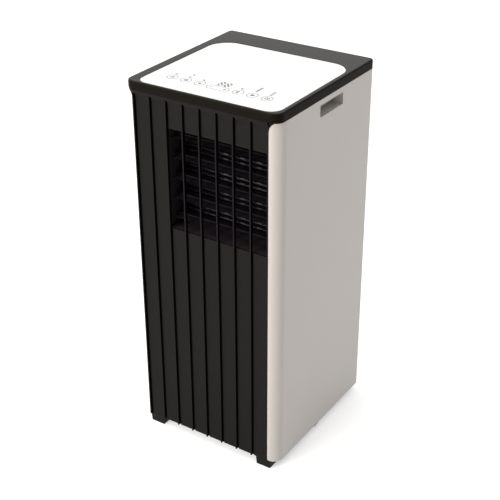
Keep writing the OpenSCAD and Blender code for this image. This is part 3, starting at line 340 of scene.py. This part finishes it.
class AIRCON_OT_finishes(bpy.types.Operator):
    """Gives every node of the frame the finish of its real material"""

    bl_idname = "aircon.finishes"
    bl_label = "Finish the frame's parts"

    def execute(self, context):
        c = context.scene.aircon_finishes
        upper_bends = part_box("evaporator_coil")[1].x - c.bends
        lower_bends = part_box("condenser_coil")[1].x - c.bends
        finishes = {
            # spark-eroded ABS: matt charcoal with hardly any gloss, and painted shade in its grooves and on
            # the ribs' right flanks
            ribbed_front_painted_shade("abs_satin_charcoal_painted_shade", c.front, c.face_y, c.front_rough, c.front_level): (
                "front_panel"
            ),
            moulded("abs_moulded_charcoal", c.front, 2.5, 0.03, 0.5, 0.05, **{LEVEL: 0.1}): (
                "front_feet side_glides"
            ),
            # a finer texture than the front's
            ledged("abs_fine_texture_graphite", c.frame, 0.34, 0.025, 0.105): "top_frame",
            # polished mould, slight orange peel about 8 mm across
            moulded("abs_gloss_white", c.white, 8, 0.02, 0.3, 0.015, **{"Coat Weight": 0.1}): (
                "right_side_panel left_side_panel"
            ),
            # a textured mould takes the gloss off
            moulded("abs_textured_white", c.rear, 1.8, 0.04, 0.5, 0.02): (
                "rear_panel upper_filter_frame lower_filter_frame"
            ),
            # clear flat sheet over white paint: sharp reflections on an even, bright ground
            moulded("acrylic_back_painted_white", c.touch, 60, 0.004, 0.1, 0.004): "touch_panel",
            moulded("abs_textured_grey", c.grip, 1.8, 0.04, 0.5, 0.04): "right_handle_cup left_handle_cup",
            moulded("abs_black_matt", c.outlet, 2.5, 0.03, 0.5, 0.05, **{LEVEL: 0.2}): "outlet_duct",
            # smoother than the duct behind it, and darker
            moulded("abs_black_smooth", c.louvre, 4, 0.01, 0.45, 0.05, **{LEVEL: 0.08}): (
                "outlet_slats louvre_blade_1 louvre_blade_2 louvre_blade_3 louvre_blade_4 louvre_blade_5 "
                "louvre_link"
            ),
            # waxy and dull
            moulded("polypropylene_black", c.pan, 3, 0.05, 0.55, 0.05): "base_pan middle_deck",
            # talc-filled and left dull; its dark grey is painted shade, so the inside seen through the slats
            # stays dark
            moulded("polypropylene_talc_grey_painted_shade", c.case, 3, 0.04, 0.5, 0.03): (
                "upper_blower_case lower_blower_case"
            ),
            # unfilled, so it is smoother and a little waxy
            moulded("polypropylene_white", c.fittings, 3, 0.02, 0.4, 0.02): (
                "water_float splash_wheel louvre_motor"
            ),
            # glass fibre at the surface breaks up the shine; its dark tone is painted shade inside the outlet
            moulded("nylon_glass_filled_painted_shade", c.wheel, 1.5, 0.04, 0.55, 0.06): (
                "upper_blower_wheel lower_blower_wheel"
            ),
            # matt rubber with a dusty bloom
            moulded("rubber_nitrile_black", c.rubber, 2, 0.05, 0.8, 0.12): (
                "compressor_grommets cord_gland upper_drain_plug lower_drain_plug left_caster_wheels "
                "right_caster_wheels"
            ),
            moulded("abs_dark_grey", c.dark, 2, 0.03, 0.5, 0.05): (
                "exhaust_duct exhaust_collar upper_drain_spout lower_drain_spout left_caster_swivel "
                "right_caster_swivel display_module"
            ),
            # sprayed enamel over steel, with a slight orange peel
            moulded("enamel_motor_grey", c.motor, 5, 0.03, 0.35, 0.05, Metallic=0.3): (
                "upper_fan_motor lower_fan_motor splash_motor"
            ),
            # dipped enamel: glossier, with slow runs
            moulded("enamel_compressor_black", c.enamel, 7, 0.04, 0.28, 0.08): "compressor accumulator",
            moulded("fibreglass_solder_mask", c.board, 3, 0.02, 0.35, 0.1): "control_board",
            # woven thread: a rough, uneven grain
            moulded("nylon_mesh_grey", scaled(c.pan, 2.2), 1.2, 0.1, 0.7, 0.1): (
                "upper_filter_mesh lower_filter_mesh"
            ),
            metal_sheet("steel_galvanised", c.steel, 0.42, 3): "electrical_box",
            metal_sheet("aluminium_drawn", c.fins, 0.35, 1.5): "run_capacitor",
            metal_sheet("copper_drawn", c.copper, 0.3, 2): "refrigerant_pipes",
            coil_finish("aluminium_fins_upper", c.fins, c.copper, upper_bends): "evaporator_coil",
            coil_finish("aluminium_fins_lower", c.fins, c.copper, lower_bends): "condenser_coil",
        }
        for material, names in finishes.items():
            for name in names.split():
                CAD_NODES[name].data.materials.clear()
                CAD_NODES[name].data.materials.append(material)
        unfinished = set(CAD_NODES) - set(" ".join(finishes.values()).split())
        if unfinished:
            raise RuntimeError(f"no finish for {sorted(unfinished)}")
        return {"FINISHED"}


# ---------- front details ----------


class AirconFront(bpy.types.PropertyGroup):
    """Sizes of the black corner above the wrapped side and of the slats' clips, whose lighter nylon paints
    glints of light.
    """

    wrap_r: length_prop("Wrap radius", 20.0, "Plan radius of the wrapped corner")
    wrap_x: length_prop("Wrap start", 122.0, "Distance of the wrapped corner's start from the middle")
    lap: length_prop("Corner lap", 0.4, "Reach of the black corner to the left of the wrap")
    return_r: length_prop("Corner radius", 17.0, "Radius of the black corner's lower edge")
    return_top: length_prop("Corner top", 642.4, "Height of the black corner's upper edge")
    return_tip: length_prop("Corner tip", 0.05, "Height that is left at the black corner's far end")
    proud: length_prop("Corner proud", 0.35, "Height of the black corner's face over the wrap")
    sunk: length_prop("Corner sunk", 0.3, "Depth of the black corner's back behind the wrap")
    rib_x: length_prop("First rib", -128.4, "Place of the first rib")
    rib_pitch: length_prop("Rib pitch", 31.3, "Distance between ribs")
    slat_pitch: length_prop("Slat pitch", 8.75, "Distance between the outlet's slats")
    slat_from: length_prop("Slats from", 2.6, "Height of the slats' first place over the grille's lower end")
    bare_top: length_prop("Bare top", 4.0, "Height below the grille's upper end that has no clips")
    clip_share: number_prop("Clip place", 0.64, "Place of a clip between two ribs, as a share")
    clip_rise: length_prop("Clip rise", 0.6, "Height of a clip's middle over its slat's underside")
    clip_proud: length_prop("Clip proud", 0.2, "Distance of a clip's middle in front of the slats")
    clip_w: length_prop("Clip width", 8.4, "Width of a slat clip")
    clip_d: length_prop("Clip depth", 1.2, "Depth of a slat clip")
    clip_h: length_prop("Clip height", 2.4, "Height of a slat clip")


class AIRCON_OT_front_details(bpy.types.Operator):
    """Adds the black corner above the wrapped side panel and the clips on the outlet's slats, lighter blocks
    as painted glints
    """

    bl_idname = "aircon.front_details"
    bl_label = "Detail the front"

    def execute(self, context):
        c = context.scene.aircon_finishes
        s = context.scene.aircon_front
        # along the wrap, from just before it; the lower edge is a quarter circle in the unrolled face
        along = np.linspace(-s.lap, s.return_r, 41)
        from_end = s.return_r - np.clip(along, 0, None)
        low = s.return_top - s.return_r + np.sqrt(np.clip(s.return_r**2 - from_end**2, 0, None))
        low = np.minimum(low, s.return_top - s.return_tip)
        turn = np.clip(along / s.wrap_r, 0, None)
        z = low[:, None] + (s.return_top - low)[:, None] * np.linspace(0, 1, 9)
        grids = []
        for radius in (s.wrap_r + s.proud, s.wrap_r - s.sunk):
            x = s.wrap_x + radius * np.sin(turn) + np.minimum(along, 0)
            y = c.face_y + s.wrap_r - radius * np.cos(turn)
            grids.append(np.stack([*np.broadcast_arrays(x[:, None], y[:, None], z)], -1))
        # with its face put a metre behind, no point of it counts as deep: it has painted shade only where it
        # faces right
        face = 1.0
        plastic = ribbed_front_painted_shade("abs_satin_charcoal_corner", c.front, face, c.front_rough, c.front_level)
        mesh_piece("corner_return", *skin(*grids), plastic, "cabinet", "black_shell")

        # clips stand to the right of the fifth, sixth and seventh ribs: lighter blocks that paint the glints
        # of light between them
        low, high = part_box("outlet_slats")
        rows = np.arange(low.z + s.slat_from + s.slat_pitch, high.z - s.bare_top, s.slat_pitch)
        columns = s.rib_x + (np.array([4, 5, 6]) + s.clip_share) * s.rib_pitch
        x, z = (grid.ravel() for grid in np.meshgrid(columns, rows))
        centres = np.column_stack([x, np.full(len(x), low.y - s.clip_proud), z + s.clip_rise])
        clips = blocks(centres, (s.clip_w, s.clip_d, s.clip_h))
        nylon = moulded("nylon_clip_grey_painted_glints", c.clip, 1.5, 0.02, 0.5, 0.06)
        mesh_piece("slat_clips_painted_glints", *clips, nylon, "cabinet", "outlet_black")
        return {"FINISHED"}


# ---------- rear screws ----------


class AirconRear(bpy.types.PropertyGroup):
    """Sizes of the screws that hold the rear panel."""

    head_r: length_prop("Head radius", 3.8, "Radius of a screw's head")
    head_h: length_prop("Dome height", 1.5, "Height of the dome whose upper part is a screw's head")
    slot_w: length_prop("Recess width", 1.1, "Width of the cross recess")
    slot_r: length_prop("Recess reach", 2.4, "Reach of the cross recess from the middle")
    slot_d: length_prop("Recess depth", 0.9, "Depth of the cross recess")
    sunk: length_prop("Sunk", 0.1, "Depth of a head's base in the rear panel")
    skirt: length_prop("Skirt", 0.3, "Depth of a head's underside below its base")
    inset: length_prop("Inset", 8.5, "Distance of the screws from the rear panel's side edges")
    end_inset: length_prop("End inset", 16.0, "Distance of the end screws from its upper and lower edges")
    per_side: bpy.props.IntProperty(name="Screws", description="Screws along each side", default=5, min=2)


class AIRCON_OT_rear_screws(bpy.types.Operator):
    """Adds the domed cross-head screws along the rear panel's sides"""

    bl_idname = "aircon.rear_screws"
    bl_label = "Fit the rear screws"

    def execute(self, context):
        c = context.scene.aircon_finishes
        s = context.scene.aircon_rear
        low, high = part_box("rear_panel")
        edge = high.x - s.inset
        heights = np.linspace(low.z + s.end_inset, high.z - s.end_inset, s.per_side)
        places = np.array([(side, 0, z) for side in (-edge, edge) for z in heights])

        # rings by angle; the height is a flat dome without its lowest fifth, less a cross whose arms run
        # out at slot_r, and the last ring drops to the skirt's edge
        turn = np.linspace(0, 2 * np.pi, 65)[:-1]
        radius, angle = np.meshgrid(np.linspace(0.02, 1, 17) * s.head_r, turn, indexing="ij")
        across, up = radius * np.cos(angle), radius * np.sin(angle)
        arm = np.minimum(np.abs(across), np.abs(up)) < s.slot_w / 2
        rise = s.head_h * (np.sqrt(1 - 0.92 * (radius / s.head_r) ** 2) - 0.2)
        rise = np.where(arm & (radius < s.slot_r), rise - s.slot_d, rise)
        rise[-1] = -s.skirt

        # seen from behind, +X is on the left; two more points close the head's top and its underside
        base_y = high.y - s.sunk
        dome = np.column_stack([-across.ravel(), base_y + rise.ravel(), up.ravel()])
        head = np.concatenate([dome, [[0, base_y + rise[0].mean(), 0], [0, base_y - s.skirt, 0]]])
        number = np.arange(radius.size).reshape(radius.shape)
        after = np.roll(number, -1, 1)
        walls = np.stack([number[:-1], number[1:], after[1:], after[:-1]], -1).reshape(-1, 4)
        caps = np.concatenate([
            np.column_stack([number[0], after[0], np.full(len(turn), radius.size)]),
            np.column_stack([after[-1], number[-1], np.full(len(turn), radius.size + 1)]),
        ])
        points = (head + places[:, None]).reshape(-1, 3)
        step = (np.arange(len(places)) * len(head))[:, None, None]
        faces = (walls + step).reshape(-1, 4).tolist() + (caps + step).reshape(-1, 3).tolist()
        steel = metal_sheet("steel_zinc_plated", c.steel, 0.35, 1)
        mesh_piece("rear_screws", points, faces, steel, "cabinet", "box_steel")
        return {"FINISHED"}


# ---------- printed touch icons ----------


class AirconPrint(bpy.types.PropertyGroup):
    """Sizes of what is printed on, or shines through, the touch panel."""

    middle: length_prop("Middle", 3.0, "Distance of the print's middle to the right of the cabinet's")
    row_y: length_prop("Row", -98.4, "Distance of the icon row from the middle, front to back")
    pitch: length_prop("Icon pitch", 26.3, "Unit of the icons' places, about the distance between two")
    ring: length_prop("Ring radius", 8.8, "Radius of an icon's ring to the middle of its line")
    line: length_prop("Line", 1.1, "Width of a ring's line")
    icon: number_prop("Icon size", 0.55, "Reach of an icon's drawing, in ring radii")
    stroke: length_prop("Stroke", 1.4, "Width of an icon's strokes")
    key_y: length_prop("Key row", 3.0, "Distance of the long key in front of the icon row")
    key_reach: number_prop("Key reach", 1.45, "Distance of the key's signs from its middle, in ring radii")
    key_r: number_prop("Key radius", 0.8, "Radius of the long key's ends, in ring radii")
    mark_w: length_prop("Mark length", 4.8, "Length of an indicator mark")
    mark_d: length_prop("Mark width", 2.9, "Width of an indicator mark")
    digit_x: length_prop("Digits' place", 0.9, "Distance of the digits to the right of the print's middle")
    digit_y: length_prop("Digits' row", 15.6, "Distance of the digits behind the icon row")
    digit_w: length_prop("Digit width", 9.4, "Width of a display digit")
    digit_h: length_prop("Digit height", 14.6, "Height between the middles of a digit's end segments")
    spread: number_prop("Spread", 0.63, "Distance of a digit from the digits' place, in digit widths")
    lean: number_prop("Lean", 0.14, "Lean of the digits to the right, as a share of the height")
    segment: length_prop("Segment", 2.8, "Width of a digit's segments")
    sunk: length_prop("Sunk", 0.05, "Depth of the print's underside in the touch panel")
    film: length_prop("Film", 0.11, "Thickness of the print")


# the icons from left to right: the drawing and its place in pitches from the middle; then, for the marks
# behind it and in millimetres, their distance to its left, the first one's behind the row and their spacing;
# last, how many they are
ICONS = (
    ("power", -3.35, 2.0, 14.4, 0.0, 1),
    ("swing", -2.35, 2.0, 14.4, 10.6, 2),
    ("mode", -1.35, 2.0, 14.4, 0.0, 1),
    ("night", 1.36, 2.0, 14.4, 0.0, 1),
    ("fan", 2.34, 3.4, 17.2, 5.1, 4),
    ("timer", 3.33, 2.6, 15.3, 5.7, 3),
)


def glyph(kind, centre, size):
    """Paths of one generic icon as (points, closed): arcs and straight strokes about the centre, whose
    numbers are shares of size."""
    c = np.asarray(centre)

    def line(*points):
        return c + size * np.array(points, float), False

    if kind == "power":
        return [(arc(c, size * 0.62, 120, 420, 25), False), line((0, 0.15), (0, 0.85))]
    if kind == "timer":
        return [(arc(c, size * 0.72, 0, 345, 25), True), line((0, 0.5), (0, 0), (0.36, -0.16))]
    if kind == "swing":
        return [line((-0.7, h), (-0.2, h - 0.22), (0.7, h + 0.22)) for h in (-0.45, 0.0, 0.45)]
    if kind == "plus":
        return [line((-0.5, 0), (0.5, 0)), line((0, -0.5), (0, 0.5))]
    if kind == "minus":
        return [line((-0.5, 0), (0.5, 0))]
    if kind == "night":
        outer, inner = arc(c, size * 0.68, 70, 290, 21), arc(c + [size * 0.5, 0], size * 0.66, 250, 110, 17)
        return [(np.concatenate([outer, inner]), True)]
    if kind == "fan":
        # a blade leaves the hub and comes back to it 70 degrees further on
        along = np.linspace(0, 1, 12)[:, None]
        reach = size * 0.72 * np.sin(np.pi * along) ** 0.5
        angles = [np.radians(start + 70 * along) for start in (90, 210, 330)]
        return [(c + reach * np.hstack([np.cos(angle), np.sin(angle)]), False) for angle in angles]
    # mode: three strokes that cross in a star
    return [line((-0.6 * a, -0.6 * b), (0.6 * a, 0.6 * b)) for a, b in ((1, 0), (0.5, 0.87), (-0.5, 0.87))]


def eight(s, x0, y0, low, high):
    """The seven segments of one digit about a middle, each point leaning to the right in proportion to its
    distance up."""
    half, side_x, gap = s.digit_h / 2, s.digit_w / 2 - s.segment / 2, 0.6 * s.segment
    shells = [
        bar((x0 + s.lean * level, y0 + level), 2 * side_x - s.segment, s.segment, low, high)
        for level in (-half, 0, half)
    ]
    for side in (-side_x, side_x):
        for foot in (-half, 0):
            rise = np.array([foot + gap, foot + half - gap])
            path = np.column_stack([x0 + side + s.lean * rise, y0 + rise])
            shells.append(ribbon(path, s.segment, low, high))
    return shells


class AIRCON_OT_touch_print(bpy.types.Operator):
    """Adds the printed rings, glyphs, indicator marks and the two digits to the touch panel"""

    bl_idname = "aircon.touch_print"
    bl_label = "Print the touch panel"

    def execute(self, context):
        c = context.scene.aircon_finishes
        s = context.scene.aircon_print
        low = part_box("touch_panel")[1].z - s.sunk
        high = low + s.film
        columns = [s.middle + s.pitch * place for kind, place, *marks in ICONS]
        key_y = s.row_y - s.key_y
        key_x = s.key_reach * s.ring

        rings = [ribbon(arc((x, s.row_y), s.ring, 0, 352.5, 48), s.line, low, high, True) for x in columns]
        # the long key in the middle: two half circles joined by straight sides
        ends = [
            arc((s.middle + side * key_x, key_y), s.ring * s.key_r, start, start + 180, 21)
            for side, start in ((1, -90), (-1, 90))
        ]
        rings.append(ribbon(np.concatenate(ends), s.line, low, high, True))
        ring_ink = moulded("screen_ink_pale_grey", c.ring_ink, 2, 0.005, 0.35, 0.05)
        mesh_piece("icon_rings", *joined(rings), ring_ink, "cabinet", "touch_white")

        keys = [(icon[0], x, s.row_y) for icon, x in zip(ICONS, columns)]
        keys += [("minus", s.middle - key_x, key_y), ("plus", s.middle + key_x, key_y)]
        strokes = [
            ribbon(path, s.stroke, low, high, closed)
            for kind, x, y in keys
            for path, closed in glyph(kind, (x, y), s.ring * s.icon)
        ]
        glyph_ink = moulded("screen_ink_grey", c.glyph_ink, 2, 0.005, 0.35, 0.05)
        mesh_piece("icon_glyphs", *joined(strokes), glyph_ink, "cabinet", "touch_white")

        marks = [
            bar((x - left * MM, s.row_y + (first + k * spacing) * MM), s.mark_w, s.mark_d, low, high)
            for (kind, place, left, first, spacing, count), x in zip(ICONS, columns)
            for k in range(count)
        ]
        mark_ink = moulded("screen_ink_dark", c.mark, 2, 0.005, 0.3, 0.05)
        mesh_piece("indicator_marks", *joined(marks), mark_ink, "cabinet", "touch_white")

        digits = []
        for side in (-1, 1):
            digit_x = s.middle + s.digit_x + side * s.digit_w * s.spread
            digits += eight(s, digit_x, s.row_y + s.digit_y, low, high)
        segments = moulded("display_segments_blue_grey", c.digits, 2, 0.005, 0.3, 0.05)
        mesh_piece("display_digits", *joined(digits), segments, "cabinet", "touch_white")
        return {"FINISHED"}


# ---------- studio ----------


class AirconStudio(bpy.types.PropertyGroup):
    """Camera, floor and lights."""

    eye: bpy.props.FloatVectorProperty(
        name="Camera place", description="Where the camera stands", default=(0.9206, -1.4135, 1.2543),
        subtype="TRANSLATION", size=3, precision=4,
    )
    azimuth: angle_prop("Azimuth", 33.233, "Turn of the view round the cabinet")
    elevation: angle_prop("Elevation", 28.793, "Tilt of the view downwards")
    roll: angle_prop("Roll", -0.234, "Turn about the view's own axis")
    lens: number_prop("Lens", 79.67, "Focal length on a 36 mm sensor", subtype="DISTANCE_CAMERA")
    top_power: number_prop("Top light", 8.0, "Power of the overhead softbox")
    key_power: number_prop("Key light", 74.0, "Power of the front left softbox")
    sky_top: number_prop("Ceiling", 1.15, "Brightness that the ceiling adds overhead")
    sky_left: number_prop("Left wall", 1.3, "Brightness of the room to the left and a little behind")
    sky_right: number_prop("Right wall", 0.12, "Brightness of the room to the right and a little in front")
    floor: colour_prop("Floor", "#cbcbca", "Colour of the floor")
    floor_glow: number_prop("Floor glow", 0.5, "Light that comes up through the floor")


def opal_floor(colour, glow):
    """A wide sheet of opal acrylic lit from below, so that shadows stay faint."""
    surface = {"Roughness": 0.9, "Emission Color": (1, 1, 1, 1), "Emission Strength": glow}
    material, tree, shader, coords = new_material("acrylic_opal_backlit", **surface)
    tone = add_node(tree, "ShaderNodeTexNoise", features(300, 2), Vector=coords).outputs["Fac"]
    tones = {"data_type": "RGBA", 6: (*scaled(colour, 0.99), 1), 7: (*scaled(colour, 1.01), 1)}
    tree.links.new(add_node(tree, "ShaderNodeMix", tones, _0=tone).outputs[2], shader.inputs["Base Color"])
    mesh = bpy.data.meshes.new("floor")
    far = 40.0
    mesh.from_pydata([(-far, -far, 0), (far, -far, 0), (far, far, 0), (-far, far, 0)], [], [(0, 1, 2, 3)])
    mesh.materials.append(material)
    floor = bpy.data.objects.new("floor", mesh)
    bpy.context.scene.collection.objects.link(floor)


def soft_room(top, left, right):
    """A room whose walls run from bright on the left to dim on the right, under a ceiling that adds light
    with the cube of the height, and with a white sweep above the floor's far edge."""
    world = bpy.data.worlds.new("soft_room")
    world.use_nodes = True
    tree = world.node_tree
    ahead = add_node(tree, "ShaderNodeTexCoord").outputs["Generated"]
    up = add_node(tree, "ShaderNodeSeparateXYZ", _0=ahead).outputs["Z"]
    bright_way = {"operation": "DOT_PRODUCT", 1: (-0.95, 0.31, 0)}
    away = add_node(tree, "ShaderNodeVectorMath", bright_way, _0=ahead).outputs["Value"]
    wall_range = {"From Min": -0.6, "From Max": 0.6, "To Min": right, "To Max": left}
    walls = add_node(tree, "ShaderNodeMapRange", wall_range, Value=away).outputs[0]
    height = add_node(tree, "ShaderNodeMath", {"operation": "MAXIMUM", 1: 0.0}, _0=up).outputs[0]
    dome = add_node(tree, "ShaderNodeMath", {"operation": "POWER", 1: 3.0}, _0=height).outputs[0]
    ceiling = {"operation": "MULTIPLY_ADD", 1: top}
    room = add_node(tree, "ShaderNodeMath", ceiling, _0=dome, _2=walls).outputs[0]
    sweep_range = {"From Min": 0.06, "From Max": 0.12, "To Min": 1.05, "To Max": 0.0}
    sweep = add_node(tree, "ShaderNodeMapRange", sweep_range, Value=height).outputs[0]
    strength = add_node(tree, "ShaderNodeMath", {"operation": "MAXIMUM"}, _0=room, _1=sweep).outputs[0]
    tree.nodes["Background"].inputs["Color"].default_value = (1, 1, 1, 1)
    tree.links.new(strength, tree.nodes["Background"].inputs["Strength"])
    bpy.context.scene.world = world


def softbox(name, place, target, size, power):
    """A square area light of that size in metres, turned to face a point."""
    lamp = bpy.data.lights.new(name, "AREA")
    lamp.shape = "SQUARE"
    lamp.size = size
    lamp.energy = power
    light = bpy.data.objects.new(name, lamp)
    light.location = place
    light.rotation_euler = (Vector(target) - Vector(place)).to_track_quat("-Z", "Y").to_euler()
    bpy.context.scene.collection.objects.link(light)


def add_camera(eye, azimuth, elevation, roll, lens):
    """The scene's camera at eye: it looks along an azimuth and down by an elevation, and rolls about that
    line."""
    sin_a, cos_a, sin_e, cos_e = (f(a) for a in (azimuth, elevation) for f in (math.sin, math.cos))
    ahead = Vector((-sin_a * cos_e, cos_a * cos_e, -sin_e))
    side = Vector((cos_a, sin_a, 0))
    up = side.cross(ahead)
    rolled_side = side * math.cos(roll) + up * math.sin(roll)
    rolled_up = up * math.cos(roll) - side * math.sin(roll)
    turn = Matrix((rolled_side, rolled_up, -ahead)).transposed().to_4x4()
    data = bpy.data.cameras.new("camera")
    data.lens = lens
    data.sensor_width = 36
    data.clip_start = 0.05
    data.clip_end = 50
    camera = bpy.data.objects.new("camera", data)
    camera.matrix_world = Matrix.Translation(eye) @ turn
    bpy.context.scene.collection.objects.link(camera)
    bpy.context.scene.camera = camera


class AIRCON_OT_studio(bpy.types.Operator):
    """Adds the pale floor, the soft lights and the camera"""

    bl_idname = "aircon.studio"
    bl_label = "Set up the studio"

    def execute(self, context):
        s = context.scene.aircon_studio
        opal_floor(s.floor, s.floor_glow)
        soft_room(s.sky_top, s.sky_left, s.sky_right)
        context.scene.view_settings.view_transform = "Standard"
        softbox("top_softbox", place=(0, 0.5, 2.8), target=(0, 0.2, 0.5), size=2.6, power=s.top_power)
        softbox("key_softbox", place=(-0.9, -2.6, 1.15), target=(0, 0, 0.3), size=1.4, power=s.key_power)
        add_camera(s.eye, s.azimuth, s.elevation, s.roll, s.lens)
        return {"FINISHED"}


# ---------- add-on ----------


class AIRCON_PT_panel(bpy.types.Panel):
    """Lists the build steps and their settings."""

    bl_label = "Portable air conditioner"
    bl_idname = "AIRCON_PT_panel"
    bl_space_type = "VIEW_3D"
    bl_region_type = "UI"
    bl_category = "Air conditioner"

    def draw(self, context):
        for operator in STEPS:
            self.layout.operator(operator.bl_idname)
        for name in SETTINGS:
            box = self.layout.box()
            for key in getattr(context.scene, name).__annotations__:
                box.prop(getattr(context.scene, name), key)


STEPS = (
    AIRCON_OT_finishes,
    AIRCON_OT_front_details,
    AIRCON_OT_rear_screws,
    AIRCON_OT_touch_print,
    AIRCON_OT_studio,
)
SETTINGS = {
    "aircon_finishes": AirconFinishes,
    "aircon_front": AirconFront,
    "aircon_rear": AirconRear,
    "aircon_print": AirconPrint,
    "aircon_studio": AirconStudio,
}


def register():
    for cls in (*SETTINGS.values(), *STEPS, AIRCON_PT_panel):
        bpy.utils.register_class(cls)
    for name, group in SETTINGS.items():
        setattr(bpy.types.Scene, name, bpy.props.PointerProperty(type=group))


def unregister():
    for name in SETTINGS:
        delattr(bpy.types.Scene, name)
    for cls in reversed((*SETTINGS.values(), *STEPS, AIRCON_PT_panel)):
        bpy.utils.unregister_class(cls)


def main():
    register()
    for step in STEPS:
        group, name = step.bl_idname.split(".")
        getattr(getattr(bpy.ops, group), name)()


if __name__ == "__main__":
    main()
